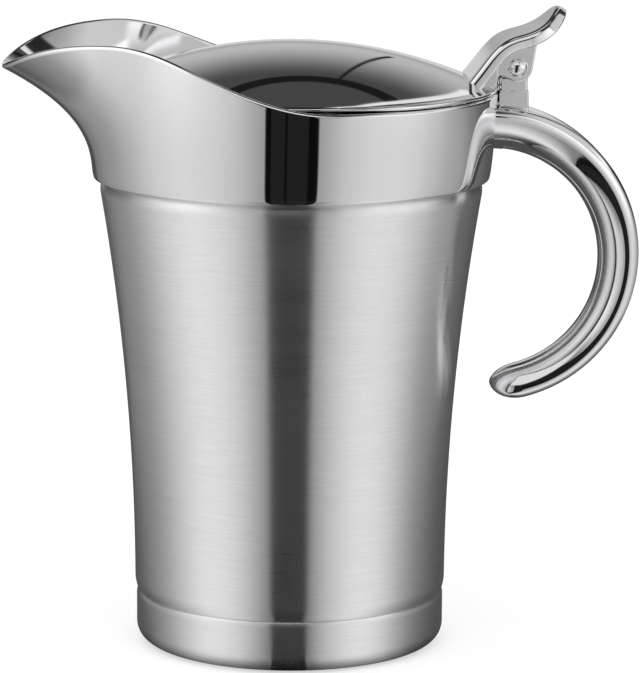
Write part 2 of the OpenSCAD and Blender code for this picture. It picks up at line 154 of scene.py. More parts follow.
def turned(name, profile, around=256, smooth=SMOOTH):
    """A ring drawn up along the axis: one extrude and one resize for each point of the profile."""
    clear_selection()
    bpy.ops.mesh.primitive_circle_add(
        vertices=around, radius=profile[0][0] * MM, location=(0, 0, profile[0][1] * MM))
    bpy.ops.object.transform_apply(location=True, rotation=False, scale=False)
    piece = named(name)
    bpy.ops.object.mode_set(mode="EDIT")
    bpy.ops.mesh.select_all(action="SELECT")
    for (r0, z0), (r1, z1) in zip(profile, profile[1:]):
        bpy.ops.mesh.extrude_region_move(
            TRANSFORM_OT_translate={"value": (0, 0, (z1 - z0) * MM)})
        bpy.ops.transform.resize(value=(r1 / r0, r1 / r0, 1), center_override=(0, 0, z1 * MM))
    return close_up(piece, weld=0.01, smooth=smooth)


def ring_piece(name, section, place):
    """A torus whose points are set one by one, by their turn round the mouth and their step."""
    clear_selection()
    bpy.ops.mesh.primitive_torus_add(major_segments=MOUTH, minor_segments=section)
    piece = named(name)
    for i, vert in enumerate(piece.data.vertices):
        vert.co = place(i // section, i % section)
    return close_up(piece)


def rolled_piece(name, rings, smooth, caps=True):
    """A grid rolled into a tube through a row of closed outlines."""
    n, m = len(rings[0]), len(rings)
    clear_selection()
    bpy.ops.mesh.primitive_grid_add(x_subdivisions=n, y_subdivisions=m - 1, size=1)
    piece = named(name)
    for vert in piece.data.vertices:
        j, i = round((vert.co.x + 0.5) * n) % n, round((vert.co.y + 0.5) * (m - 1))
        vert.co = rings[i][j]
    return close_up(piece, caps=caps, smooth=smooth)


def cut_block(name, outline, y0, y1, edge):
    """An outline in the XZ plane, given from the pin, drawn out along Y, with rounded edges."""
    clear_selection()
    bpy.ops.mesh.primitive_circle_add(vertices=len(outline), radius=MM, fill_type="NGON")
    piece = named(name)
    for vert, (x, z) in zip(piece.data.vertices, outline):
        vert.co = metres(PIN_X + x, y0, PIN_Z + z)
    bpy.ops.object.mode_set(mode="EDIT")
    bpy.ops.mesh.select_all(action="SELECT")
    bpy.ops.mesh.extrude_region_move(TRANSFORM_OT_translate={"value": (0, (y1 - y0) * MM, 0)})
    close_up(piece)
    bevel = piece.modifiers.new("rounded_edges", "BEVEL")
    bevel.width, bevel.segments, bevel.angle_limit = edge * MM, 4, math.radians(50)
    bpy.ops.object.modifier_apply(modifier=bevel.name)
    bpy.ops.object.shade_smooth_by_angle(angle=math.radians(SMOOTH))
    return piece


def joined(name, pieces):
    clear_selection()
    for piece in pieces:
        piece.select_set(True)
    bpy.context.view_layer.objects.active = pieces[0]
    bpy.ops.object.join()
    return named(name)


# Body: base cap, brushed wall and inner cup, all turned about the axis

def wall_radius(z):
    return WALL_R_LOW + FLARE_R - math.sqrt(FLARE_R ** 2 - (z - SEAM_Z) ** 2)


def wall_rows(z0, z1, inset, n):
    return [(wall_radius(z) - inset, z) for z in spaced(z0, z1, n)]


def make_base_cap():
    """A foot ring round a recess, a straight side, and an edge that rolls in under the seam."""
    foot_out = BASE_R - BASE_FILLET
    foot_in = foot_out - FOOT_W
    soft, soft_up, recess_soft, recess_down = 0.3, 0.1, 0.6, 0.15
    side_rows, inner_h = (7.5, 10.5), 3.5
    lip, lean, edge, edge_lean, edge_skip = 3.2, 22.0, 0.7, 66.0, 6.0
    edge_r = BASE_R - lip + (lip - edge) * cosd(lean)
    edge_z = BASE_H - edge * sind(edge_lean)
    lip_z = edge_z - (lip - edge) * sind(lean)
    inner_r = edge_r + edge * cosd(edge_lean) - SHEET
    return turned("base_cap_brushed", [
        (AXIS_R, RECESS_H), (foot_in - RECESS_H - recess_soft, RECESS_H),
        (foot_in - RECESS_H, RECESS_H - recess_down), (foot_in - soft, soft_up),
        (foot_in + soft, 0.0), (foot_out - soft, 0.0),
        *arc(foot_out, BASE_FILLET, BASE_FILLET, -90, 0, 24),
        *[(BASE_R, z) for z in side_rows],
        *arc(BASE_R - lip, lip_z, lip, 0, lean, 8),
        *arc(edge_r, edge_z, edge, lean + edge_skip, edge_lean, 8),
        (inner_r, BASE_H), (inner_r, BASE_H - inner_h),
    ])


def make_wall():
    """The flared wall, rounded in at the lower seam and at the joint with the collar."""
    foot_round, foot_lean, foot_skip, foot_up = 8.0, -26.0, 0.5, 0.03
    top_round, top_lean, turn_in, top_down = 5.5, -9.8, 34.0, 0.04
    hem_rows, rows_up, rows_down, tuck_up = ((1.8, 0.0), (0.1, 0.0), (0.03, 0.02)), 3.8, 0.3, 0.1
    foot, top = BASE_H + foot_up, JOINT_Z - top_down
    foot_r = WALL_R_LOW - foot_round * (1 - cosd(foot_lean))
    edge_z = top - top_round * (sind(turn_in) - sind(top_lean))
    edge_r = wall_radius(edge_z)
    return turned("wall_brushed", [
        *[(foot_r - inset, foot + up) for inset, up in hem_rows],
        *arc(WALL_R_LOW - foot_round, foot - foot_round * sind(foot_lean), foot_round,
             foot_lean + foot_skip, 0, 10),
        *wall_rows(SEAM_Z + rows_up, edge_z - rows_down, 0, 48),
        *arc(edge_r - top_round * cosd(top_lean), edge_z - top_round * sind(top_lean), top_round,
             top_lean, turn_in, 20),
        (COLLAR_R - SHEET - SLIP, top + tuck_up),
    ])


def make_cup():
    """The inner cup: its hidden outside upwards, then its inside down to the bottom."""
    inset = SHEET + AIR_GAP
    foot = CUP_Z + CUP_FILLET
    corner_r = wall_radius(foot) - inset - CUP_FILLET
    straight, corner_n, wall_n = foot + 1, 16, 40
    return turned("inner_cup", [
        (AXIS_R, CUP_Z),
        *arc(corner_r, foot, CUP_FILLET, -90, 0, corner_n),
        *wall_rows(straight, JOINT_Z, inset, wall_n),
        (CUP_TOP_R, JOINT_Z + LAP), (CUP_TOP_R - SHEET, JOINT_Z + LAP),
        *reversed(wall_rows(straight, JOINT_Z, inset + SHEET, wall_n)),
        *arc(corner_r, foot, CUP_FILLET - SHEET, 0, -90, corner_n),
        (AXIS_R, CUP_Z + SHEET),
    ])


# Collar and spout: a is the angle from the spout, s runs from the joint to the rim

def bump(a):
    return cosd(90 * a / SPOUT_HALF) ** BUMP_POWER if abs(a) < SPOUT_HALF else 0.0


def skin_top(a):
    shoulder = ease((RISE_FROM - abs(a)) / (RISE_FROM - RISE_TO))
    return RIM_Z - BEAD_R + SHOULDER_RISE * shoulder - TIP_DIP * math.exp(-(a / DIP_ANGLE) ** 2)


def skin_r(a, s):
    reach = (max(0.0, s - SPOUT_START) / (1 - SPOUT_START)) ** SPOUT_POWER
    return COLLAR_R + RIM_FLARE * max(0.0, s) ** FLARE_POWER + SPOUT_REACH * bump(a) * reach


def skin_z(a, s):
    return JOINT_Z + (skin_top(a) - JOINT_Z) * s


def skin_dir(a, s):
    near = 0.03
    s0, s1 = max(0.0, s - near), min(1.0, s + near)
    dr, dz = skin_r(a, s1) - skin_r(a, s0), skin_z(a, s1) - skin_z(a, s0)
    length = math.hypot(dr, dz)
    return dr / length, dz / length


def skin(a, s, depth):
    dr, dz = skin_dir(a, s)
    return skin_r(a, s) - depth * dz, skin_z(a, s) + depth * dr * s


def skin_gap(s):
    return RIM_GAP + (LOW_GAP - RIM_GAP) * (1 - s) ** GAP_POWER


def at_angle(a, r, z):
    return metres(-r * cosd(a), r * sind(a), z)


def mouth_angle(turn):
    return -180 + 360 * turn / MOUTH


def make_collar():
    """Up the outside from a rounded lower lip to the rim, and down the hidden side."""
    lip, lip_rows, clear = 0.14, (0.0, 0.01, 0.03, 0.06, 0.1, 0.14), 0.005
    steps = [d / COLLAR_H for d in lip_rows]
    steps += [s for s in spaced(0, 1, COLLAR_ROWS) if s > lip / COLLAR_H + clear]
    section = [(s, True) for s in steps] + [(s, False) for s in spaced(1, 0, HIDDEN_ROWS)]

    def place(turn, step):
        a = mouth_angle(turn)
        s, outside = section[step]
        depth = SHEET
        if outside:
            d = s * COLLAR_H
            depth = lip - math.sqrt(lip ** 2 - (lip - d) ** 2) if d < lip else 0.0
        return at_angle(a, *skin(a, s, depth))

    return ring_piece("spout_collar_polished", len(section), place)


def make_lining():
    """Up the hidden side to the rim, and down the inside of the spout."""
    section = [(s, SHEET) for s in spaced(0, 1, HIDDEN_ROWS)]
    section += [(s, 2 * SHEET) for s in reversed(spaced(0, 1, COLLAR_ROWS))]

    def place(turn, step):
        a = mouth_angle(turn)
        s, depth = section[step]
        return at_angle(a, *skin(a, s, depth + skin_gap(s)))

    return ring_piece("spout_lining_polished", len(section), place)


def make_bead():
    """A half-round seam over both skins, which leans out a little."""
    n, lean, snug, sink = 24, 0.1, 0.99, 0.03

    def place(turn, step):
        a = mouth_angle(turn)
        r0, z0 = skin(a, 1, 0)
        r1, z1 = skin(a, 1, 2 * SHEET + RIM_GAP)
        r, z = (r0 + r1) / 2, (z0 + z1) / 2
        if step > n:
            return at_angle(a, r, z)
        dr, dz = skin_dir(a, 1)
        across, up = cosd(180 * step / n), sind(180 * step / n)
        up = (BEAD_R - sink) * up * (1 - lean * across)
        across *= snug
        return at_angle(a, r + (r0 - r) * across + dr * up, z + (z0 - z) * across + dz * up)

    return ring_piece("rim_bead_polished", n + 2, place)


# Lid: a dome with a hem, and at the back a ledge that lies on the rim

def make_lid():
    turns, dome_n, edge_n = 288, 60, 8
    edge, ledge_run, ledge_in, ledge_share = 0.42, 16.0, 0.05, 0.05
    dome_in, crease_in, crease_up, hem_in, hem_up = 0.35, 0.1, 0.02, 0.4, 0.5
    angles = spaced(0, 360, turns)[:-1]

    def edge_radius(t):
        side = abs((t + 180) % 360 - 180)
        ledge = ease((LEDGE_HALF + ledge_run - side) / (2 * ledge_run))
        return LID_R + (RIM_R - ledge_in - LID_R) * ledge

    def ring(height, radii):
        return [metres(r * cosd(t), r * sind(t), height) for r, t in zip(radii, angles)]

    rings = []
    for r in [AXIS_R, *spaced(0, LID_R, dome_n)[1:-1], LID_R - dome_in]:
        rings.append(ring(DOME_Z + math.sqrt(DOME_R ** 2 - r ** 2), [r] * turns))
    edge_radii = [edge_radius(t) for t in angles]
    rings.append(ring(LID_TOP_Z + crease_up,
                      [LID_R - crease_in + ledge_share * (r - LID_R) for r in edge_radii]))
    flat = LID_EDGE / 2 - edge
    for f in spaced(90, -90, edge_n):
        shift = flat if f > 0 else -flat if f < 0 else 0
        rings.append(ring(LID_Z + LID_EDGE / 2 + edge * sind(f) + shift,
                          [r - edge * (1 - cosd(f)) for r in edge_radii]))
    for height in (LID_Z, LID_Z + hem_up):
        rings.append(ring(height, [LID_R - HEM_W - hem_in] * turns))
    return rolled_piece("lid_dome_polished", rings, SMOOTH_LID, caps=False)


def make_lid_liner():
    """The lid's lower skin: radius and height of its raised middle and of its outer ring."""
    r = LID_R - HEM_W - SLIP
    middle = [(AXIS_R, 0.15), (r * 0.55, 0.15), (r * 0.6, 0.12), (r * 0.62, 0.0), (r * 0.64, 0.0)]
    outer = [(r - 3.2, 0.0), (r - 2.6, 0.05), (r - 2.2, 0.2), (r - 0.5, 0.2), (r - 0.15, 0.3),
             (r, 0.5), (r, SHEET)]
    return turned("lid_liner_satin", [(x, LID_Z + up) for x, up in middle + outer], around=192)


# Lever: its top line is two cubic curves, u from 0 to 1 up to the hump and on to 2 at the tip

def heading(a):
    return Vector((cosd(a), sind(a)))


def bezier(p, q, r, s, t):
    return p * (1 - t) ** 3 + q * (3 * t * (1 - t) ** 2) + r * (3 * t * t * (1 - t)) + s * t ** 3


LEVER_LOW = Vector((-LEVER_FRONT, LEVER_HUMP - LOW_DROP))
LEVER_MID = Vector((HUMP_X, LEVER_HUMP))
LEVER_TIP = Vector((TIP_BACK, TIP_UP))


def lever_top(u):
    if u < 1:
        return bezier(LEVER_LOW, LEVER_LOW + heading(LOW_SLOPE) * LOW_PULL,
                      LEVER_MID - heading(HUMP_SLOPE) * HUMP_PULL, LEVER_MID, u)
    return bezier(LEVER_MID, LEVER_MID + heading(HUMP_SLOPE) * RISE_PULL,
                  LEVER_TIP - heading(TIP_SLOPE) * TIP_PULL, LEVER_TIP, u - 1)


def lever_dir(u):
    near = 0.01
    return (lever_top(min(2.0, u + near)) - lever_top(max(0.0, u - near))).normalized()


def lever_thickness(u):
    return LEVER_T - (LEVER_T - LEVER_TIP_T) * ease((u - THIN_FROM) / (2 - THIN_FROM))


def lever_under(u):
    d = lever_dir(u)
    return lever_top(u) + Vector((d.y, -d.x)) * lever_thickness(u)


def lever_stations():
    """Way from the tip, point, direction and thickness along the lever, close near the tip."""
    n, crowding = 110, 1.7
    rows, way, last = [], 0.0, lever_top(2)
    for i in range(n + 1):
        u = 2 - 2 * (i / n) ** crowding
        point = lever_top(u)
        way += (point - last).length
        last = point
        rows.append((way, point, lever_dir(u), lever_thickness(u)))
    way, point, d, t = rows[-1]
    rows.append((way + LEVER_ROOT, point - d * LEVER_ROOT, d, t))
    return rows


def make_lever():
    stations = lever_stations()
    length = stations[-2][0]
    top_edge, low_edge, edge_n, top_n, low_n = 1.7, 0.5, 10, 5, 4

    def half(way, inset):
        if way < LEVER_END_R:
            left = (LEVER_END_R - inset) ** 2 - (LEVER_END_R - way) ** 2
            return math.sqrt(left) if left > 0 else None
        widening = (LEVER_W / 2 - LEVER_END_R) * (way - LEVER_END_R) / (length - LEVER_END_R)
        return LEVER_END_R + widening - inset

    def depth_at(radius, inset):
        return radius - math.sqrt(max(0.0, radius ** 2 - (radius - min(radius, inset)) ** 2))

    def rounding(way, radius):
        """Half width and depth round an edge; where the tip has no width left, its middle."""
        rows = []
        for f in spaced(0, 90, edge_n):
            h = half(way, radius * (1 - cosd(f)))
            rows.append((0.0, depth_at(radius, way)) if h is None else (h, radius * (1 - sind(f))))
        return rows

    rings = []
    for way, point, d, t in stations:
        down = Vector((d.y, -d.x))
        side = rounding(way, top_edge)[::-1]
        side += [(h, t - depth) for h, depth in rounding(way, low_edge)]
        (top_half, top_depth), (low_half, low_depth) = side[0], side[-1]
        line = [(top_half * k / top_n, top_depth) for k in range(top_n)] + side
        line += [(low_half * k / low_n, low_depth) for k in reversed(range(low_n))]
        outline = line + [(-y, depth) for y, depth in reversed(line[1:-1])]
        rings.append([metres(PIN_X + point.x + down.x * depth, y, PIN_Z + point.y + down.y * depth)
                      for y, depth in outline])
    return rolled_piece("thumb_lever_polished", rings, SMOOTH_LEVER)


def under_line(x0, x1, sink):
    """Points along the lever's underside between two places, a little inside it."""
    fine_n, line_n = 400, 14
    points = [lever_under(u) + Vector((-lever_dir(u).y, lever_dir(u).x)) * sink
              for u in spaced(0, 2, fine_n)]
    return [(x, min(points, key=lambda p: abs(p.x - x)).y) for x in spaced(x0, x1, line_n)]


# Hinge: the bracket on the lid, two ears under the lever, the pin's heads and the post between

def make_bracket():
    set_back, sink, lid_sink, fillet, fillet_up, edge = 3.0, 0.3, 0.1, 2.0, 2.15, 0.3
    low = LID_TOP_Z - lid_sink - PIN_Z
    front = -LEVER_FRONT + set_back
    return cut_block("lid_bracket_polished", [
        (front, low), *under_line(front, BRACKET_BACK, sink),
        *arc(BRACKET_BACK - fillet, low + fillet_up, fillet, 0, -90, 10),
    ], -BRACKET_HALF, BRACKET_HALF, edge)


def make_ears():
    sink, heel_angle, edge = 0.25, -4.0, 0.35
    front, back = BRACKET_BACK + SEAT, EAR_R + EAR_SPREAD
    outline = [(front, -EAR_DROP), *under_line(front, back, sink),
               *arc(0, 0, EAR_R, heel_angle, TOE_ANGLE, 20)]
    ears = []
    for side in (-1, 1):
        y = side * (POST_W / 2 + RUNNING)
        ears.append(cut_block("ear", outline, y, y + side * EAR_T, edge))
    return joined("lever_ears_polished", ears)


def make_pin_head(name, side):
    """A domed head with a short shank, turned upright and then laid along the pin."""
    ball = (HEAD_R ** 2 + HEAD_H ** 2) / (2 * HEAD_H)
    dome_angles, brim, brim_rows = (0.3, *range(4, 96, 4)), 0.08, ((0.02, 0.06), (0.12, 0.0))
    shank_r, shank_end, axis_r = 1.4, -2.0, 0.01
    rows = [(ball * sind(a), HEAD_H - ball + ball * cosd(a)) for a in dome_angles]
    rows = [(r, z) for r, z in rows if z > brim]
    rows += [(HEAD_R - inset, z) for inset, z in brim_rows]
    rows += [(shank_r, 0.0), (shank_r, shank_end), (axis_r, shank_end)]
    head = turned(name, rows, around=64, smooth=SMOOTH_ROUND)
    turn = Matrix.Rotation(math.radians(-90 * side), 4, "X")
    head.data.transform(Matrix.Translation(metres(PIN_X, side * PIN_END, PIN_Z)) @ turn)
    return head


def make_post():
    """The knuckle round the pin and a slightly wider foot, both let into the handle's top."""
    front = RIM_R + SLIP - PIN_X
    sink, foot_rows, knuckle_edge, foot_edge = 0.25, (1.5, 0, -1.5, -3), 0.6, 0.35

    def on_handle(x):
        run = PIN_X + x - HANDLE_X
        return x, OUTER_CZ - PIN_Z + math.sqrt(HANDLE_OUTER_R ** 2 - run ** 2) - sink

    half_w, back = POST_W / 2, POST_HALF + FOOT_LIP
    low_line = [on_handle(x) for x in foot_rows]
    knuckle = cut_block("knuckle", [
        on_handle(front), (front, -WEB_DROP), (-POST_HALF, -WEB_DROP),
        *arc(0, 0, POST_HALF, 180, 0, 24), on_handle(POST_HALF), *low_line,
    ], -half_w, half_w, knuckle_edge)
    foot = cut_block("foot", [
        on_handle(front), (front, -PIN_UP), (back, -PIN_UP), on_handle(back), *low_line,
    ], -half_w - FOOT_LIP, half_w + FOOT_LIP, foot_edge)
    return joined("hinge_post_polished", [knuckle, foot])


# Handle: a hollow C with an inset strip along its inner side

def handle_half_w(a):
    return (HANDLE_W + (HANDLE_TIP_W - HANDLE_W) * min(1.0, (90 - a) / (90 - TIP_ANGLE))) / 2


def section_point(o, i, half_w, q, depth, close):
    """A point of the section: round corners to a flat crown outside, flanks and strip inside."""
    least = 0.05
    thick, out = close * (o - i).length, (o - i).normalized()
    mid = (o + i) / 2 + out * (thick * (WIDEST - 0.5))
    share = sind(q)
    wide = max(least, close * half_w - depth - HANDLE_INSET)
    reach = max(least, thick * (WIDEST if share < 0 else 1 - WIDEST) - depth - HANDLE_INSET)
    if share < 0:
        flank = (1 - (STRIP_SHARE * -share) ** FLANK_POWER) ** (1 / FLANK_POWER)
        w = wide * flank * max(0.0, 1 - (-share) ** STRIP_POWER) ** (1 / STRIP_POWER)
    else:
        corner = min(reach, wide)
        crown = math.sqrt(max(0.0, 1 - share ** CROWN_POWER))
        w = (wide - corner) * crown + corner * abs(cosd(q))
    p = mid + out * (share * reach)
    return metres(p.x, math.copysign(w, cosd(q)), p.y)


def handle_point(angles, q, depth, close):
    """A point of the section between an angle of the outer edge and one of the inner edge."""
    a, b = angles
    o = Vector((HANDLE_X + HANDLE_OUTER_R * cosd(a), OUTER_CZ + HANDLE_OUTER_R * sind(a)))
    i = Vector((INNER_X + HANDLE_INNER_R * cosd(b), INNER_CZ + HANDLE_INNER_R * sind(b)))
    return section_point(o, i, handle_half_w(a), q, depth, close)


def upright(x):
    """The angles at which the section stands upright at x."""
    return (math.degrees(math.acos((x - HANDLE_X) / HANDLE_OUTER_R)),
            math.degrees(math.acos((x - INNER_X) / HANDLE_INNER_R)))


def handle_stations():
    """Angles and closeness from the pad, round the arm, and on to the closed tip."""
    root_n, arm_n, end_n, end_sweep = 10, 110, 18, 89.0
    root = upright(PAD_X)
    rows = [(tuple(a + (ROOT_ANGLE - a) * i / root_n for a in root), 1.0) for i in range(root_n)]
    rows += [((a, a), 1.0) for a in spaced(ROOT_ANGLE, TIP_ANGLE, arm_n)]
    for i in range(1, end_n + 1):
        e = sind(end_sweep * i / end_n)
        a = TIP_ANGLE + (END_ANGLE - TIP_ANGLE) * e
        rows.append(((a, a), math.sqrt(1 - e * e)))
    return rows


def handle_skin(name, start, end, outer_n, inner_n, sink, edge_rows):
    """A skin between two angles of the section, with its long edges drawn in."""
    outer, inner = spaced(start, end, outer_n), spaced(end, start, inner_n)
    depths = [sink] * len(outer)
    for k, depth in enumerate(edge_rows):
        depths[k] = depths[-1 - k] = sink + depth

    def ring(angles, close):
        row = [handle_point(angles, q, depth, close) for q, depth in zip(outer, depths)]
        return row + [handle_point(angles, q, HANDLE_WALL, close) for q in inner]

    return rolled_piece(name, [ring(a, c) for a, c in handle_stations()], SMOOTH_ROUND)


def make_handle_shell():
    return handle_skin("handle_shell_polished", -STRIP_CUT, 180 + STRIP_CUT,
                       outer_n=120, inner_n=24, sink=0.0, edge_rows=(0.22, 0.1, 0.03))


def make_handle_strip():
    cut = STRIP_CUT + STRIP_GAP
    return handle_skin("handle_strip_polished", 180 + cut, 360 - cut,
                       outer_n=30, inner_n=10, sink=0.16, edge_rows=(0.2, 0.08, 0.02))


def make_pad():
    """The handle's root carried on to the collar, flush with it."""
    around, rows_n, lap, sunk = 160, 8, 0.01, 1.0
    rows = []
    for i in range(rows_n + 1):
        ring = []
        for q in spaced(0, 360, around)[:-1]:
            y = handle_point(upright(PAD_X), q, 0.0, 1.0).y / MM
            collar_x = math.sqrt((RIM_R - sunk) ** 2 - y ** 2)
            x = PAD_X - lap + (collar_x - PAD_X) * i / rows_n
            ring.append(handle_point(upright(x), q, 0.0, 1.0))
        rows.append(ring)
    return rolled_piece("handle_pad_polished", rows, SMOOTH_ROUND)


# Finishes

def feed(tree, node, links):
    """Links or sets a node's inputs, each given by its name or number."""
    for key, source in links.items():
        if isinstance(source, bpy.types.NodeSocket):
            tree.links.new(source, node.inputs[key])
        else:
            node.inputs[key].default_value = source


def add(tree, kind, links=None, **values):
    """A node with its settings and with what feeds its inputs."""
    made = tree.nodes.new(kind)
    for key, value in values.items():
        setattr(made, key, value)
    feed(tree, made, links or {})
    return made


def group(name, inputs, outputs):
    """A node group with inputs of a name, kind and value, and with outputs that are values."""
    tree = bpy.data.node_groups.new(name, "ShaderNodeTree")
    for label, kind, value in inputs:
        socket = tree.interface.new_socket(label, in_out="INPUT", socket_type=kind)
        if value is not None:
            socket.default_value = value
    for label in outputs:
        tree.interface.new_socket(label, in_out="OUTPUT", socket_type="NodeSocketFloat")
    return tree, tree.nodes.new("NodeGroupInput"), tree.nodes.new("NodeGroupOutput")


def noise(tree, place, **values):
    links = {"Vector": place, **{key.capitalize(): value for key, value in values.items()}}
    return add(tree, "ShaderNodeTexNoise", links).outputs["Fac"]


def brush_lines_group():
    """Fine lines left by brushing round the body."""
    tree, given, out = group("brush_lines", [
        ("Vector", "NodeSocketVector", None),
        ("Fineness", "NodeSocketFloat", 1.0),
    ], ["Fine", "Broad"])
    scaled = add(tree, "ShaderNodeVectorMath", {
        0: given.outputs["Vector"], "Scale": given.outputs["Fineness"]}, operation="SCALE")
    for label, stretch, detail, roughness in (
            ("Fine", (100.0, 100.0, 3600.0), 3.0, 0.6),
            ("Broad", (9.0, 9.0, 420.0), 2.0, 0.5)):
        place = add(tree, "ShaderNodeMapping", {"Vector": scaled.outputs[0], "Scale": stretch})
        lines = noise(tree, place.outputs[0], scale=1.0, detail=detail, roughness=roughness)
        tree.links.new(lines, out.inputs[label])
    return tree


def hand_marks_group():
    """Soft smudges from wiping and handling, and the slight ripple of drawn sheet."""
    tree, given, out = group("hand_marks", [
        ("Vector", "NodeSocketVector", None),
        ("Amount", "NodeSocketFloat", 1.0),
    ], ["Marks", "Ripple"])
    place = given.outputs["Vector"]
    smudge = noise(tree, place, scale=34.0, detail=5.0, roughness=0.55, distortion=0.6)
    spread = add(tree, "ShaderNodeMapRange", {
        "Value": smudge, "From Min": 0.42, "From Max": 0.72})
    scaled = add(tree, "ShaderNodeMath", {
        0: spread.outputs[0], 1: given.outputs["Amount"]}, operation="MULTIPLY")
    tree.links.new(scaled.outputs[0], out.inputs["Marks"])
    tree.links.new(noise(tree, place, scale=70.0, detail=1.0), out.inputs["Ripple"])
    return tree


BRUSH_LINES = brush_lines_group()
HAND_MARKS = hand_marks_group()
BUMP_HEIGHT = 0.0002


def new_material(name):
    material = bpy.data.materials.new(name)
    material.use_nodes = True
    tree = material.node_tree
    shader = tree.nodes["Principled BSDF"]
    place = add(tree, "ShaderNodeTexCoord").outputs["Object"]
    return material, tree, shader, place


def use_group(tree, shared, place, **values):
    return add(tree, "ShaderNodeGroup", {"Vector": place, **values}, node_tree=shared).outputs


def ranged(tree, value, ends):
    return add(tree, "ShaderNodeMapRange", {
        "Value": value, "To Min": ends[0], "To Max": ends[1]}).outputs[0]


def tinted(tree, value, dark, light):
    return add(tree, "ShaderNodeMix", {
        "Factor": value, "A": (*dark, 1), "B": (*light, 1)}, data_type="RGBA").outputs["Result"]


def shaded(tone, share):
    return [t * share for t in tone]


def raised(tree, height, strength):
    return add(tree, "ShaderNodeBump", {
        "Strength": strength, "Distance": BUMP_HEIGHT, "Height": height}).outputs[0]


def brushed_steel(name, tone, roughness):
    material, tree, shader, place = new_material(name)
    lines = use_group(tree, BRUSH_LINES, place)
    marks = use_group(tree, HAND_MARKS, place, Amount=0.6)
    rough = add(tree, "ShaderNodeMath", {
        0: lines["Broad"], 1: marks["Marks"]}, operation="ADD").outputs[0]
    tangent = add(tree, "ShaderNodeTangent", direction_type="RADIAL", axis="Z").outputs[0]
    feed(tree, shader, {
        "Base Color": tinted(tree, lines["Fine"], shaded(tone, 0.86), shaded(tone, 1.1)),
        "Roughness": ranged(tree, rough, roughness),
        "Metallic": 0.98, "Anisotropic": 1.0, "Anisotropic Rotation": 0.25, "Tangent": tangent,
    })
    return material


def polished_steel(name, tone, roughness, ripple):
    material, tree, shader, place = new_material(name)
    marks = use_group(tree, HAND_MARKS, place, Amount=1.0)
    feed(tree, shader, {
        "Base Color": tinted(tree, marks["Marks"], tone, shaded(tone, 0.96)),
        "Roughness": ranged(tree, marks["Marks"], roughness),
        "Metallic": 1.0, "Normal": raised(tree, marks["Ripple"], ripple),
    })
    return material


def satin_steel(name, tone, roughness, grain):
    material, tree, shader, place = new_material(name)
    lines = use_group(tree, BRUSH_LINES, place, Fineness=0.7)
    marks = use_group(tree, HAND_MARKS, place, Amount=1.0)
    feed(tree, shader, {
        "Base Color": tinted(tree, lines["Broad"], shaded(tone, 0.93), shaded(tone, 1.06)),
        "Roughness": ranged(tree, marks["Marks"], roughness),
        "Metallic": 1.0, "Normal": raised(tree, lines["Fine"], grain),
    })
    return material


BRUSHED = brushed_steel("brushed_steel", tone=(0.9, 0.9, 0.91), roughness=(0.25, 0.31))
POLISHED = polished_steel(
    "polished_steel", tone=(0.84, 0.84, 0.85), roughness=(0.03, 0.06), ripple=0.02)
POLISHED_SMALL = polished_steel(
    "polished_fittings", tone=(0.82, 0.82, 0.83), roughness=(0.05, 0.09), ripple=0.01)
LINING = polished_steel(
    "polished_inside", tone=(0.83, 0.83, 0.84), roughness=(0.05, 0.09), ripple=0.02)
SATIN = satin_steel("satin_inside", tone=(0.8, 0.8, 0.81), roughness=(0.12, 0.2), grain=0.02)


def dress(piece, body, node, material):
    piece.data.materials.clear()
    piece.data.materials.append(material)
    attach(piece, body)
    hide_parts(node)


dress(make_base_cap(), "vessel", "base_cap", BRUSHED)
dress(make_wall(), "vessel", "outer_shell", BRUSHED)
dress(make_cup(), "vessel", "liner_cup", SATIN)
dress(make_collar(), "vessel", "spout_collar", POLISHED)
dress(make_lining(), "vessel", "spout_lining", LINING)
dress(make_bead(), "vessel", "rim_bead", POLISHED_SMALL)
dress(make_lid(), "lid", "lid_dome", POLISHED)
dress(make_lid_liner(), "lid", "lid_liner", SATIN)
dress(make_lever(), "lid", "thumb_lever", POLISHED_SMALL)
dress(make_bracket(), "lid", "lid_bracket", POLISHED_SMALL)
dress(make_ears(), "lid", "lever_ears", POLISHED_SMALL)
dress(make_pin_head("hinge_pin_polished", -1), "lid", "hinge_pin", POLISHED_SMALL)
dress(make_pin_head("pin_cap_polished", 1), "lid", "pin_cap", POLISHED_SMALL)
dress(make_post(), "vessel", "hinge_post", POLISHED_SMALL)
dress(make_handle_shell(), "vessel", "handle_shell", POLISHED)
dress(make_handle_strip(), "vessel", "handle_strip", POLISHED)
dress(make_pad(), "vessel", "handle_pad", POLISHED)

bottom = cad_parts["shell_bottom"]
bottom.data.materials.clear()
bottom.data.materials.append(SATIN)


# Studio: a white table in a light tent with soft panels, a dark gap, a shaded back and a dark top

CAMERA_TURN = -3.0
DEGREES = 180 / math.pi
TENT_R, TENT_CENTRE = 0.30, Vector((0, 0, 0.15))
FLOOR_R, FLOOR_DROP = 4.0, 0.0002
BODY_R = 0.046

# Brightness of the panels by the angle round the tent: low, level, high, and on the table
LOW_PANELS = (
    (0, 0.32), (17, 0.43), (26, 0.6), (38, 0.73), (52, 0.78), (64, 0.76), (74, 0.68), (89, 0.5),
    (106, 0.36), (120, 0.2), (135, 0.13), (152, 0.09), (180, 0.08), (208, 0.1), (220, 0.2),
    (231, 0.28), (254, 0.41), (271, 0.58), (280, 0.69), (296, 0.78), (308, 0.77), (322, 0.7),
    (334, 0.56), (343, 0.4), (360, 0.32))
LEVEL_PANELS = (
    (0, 0.35), (20, 0.5), (26, 0.6), (31, 0.78), (40, 0.9), (45, 1.0), (55, 1.2), (69, 1.25),
    (85, 0.7), (105, 0.06), (130, 0.03), (152, 0.05), (212, 0.06), (232, 0.03), (255, 0.3),
    (275, 0.95), (290, 1.25), (305, 1.2), (315, 1.0), (320, 0.88), (329, 0.74), (334, 0.55),
    (340, 0.45), (360, 0.35))
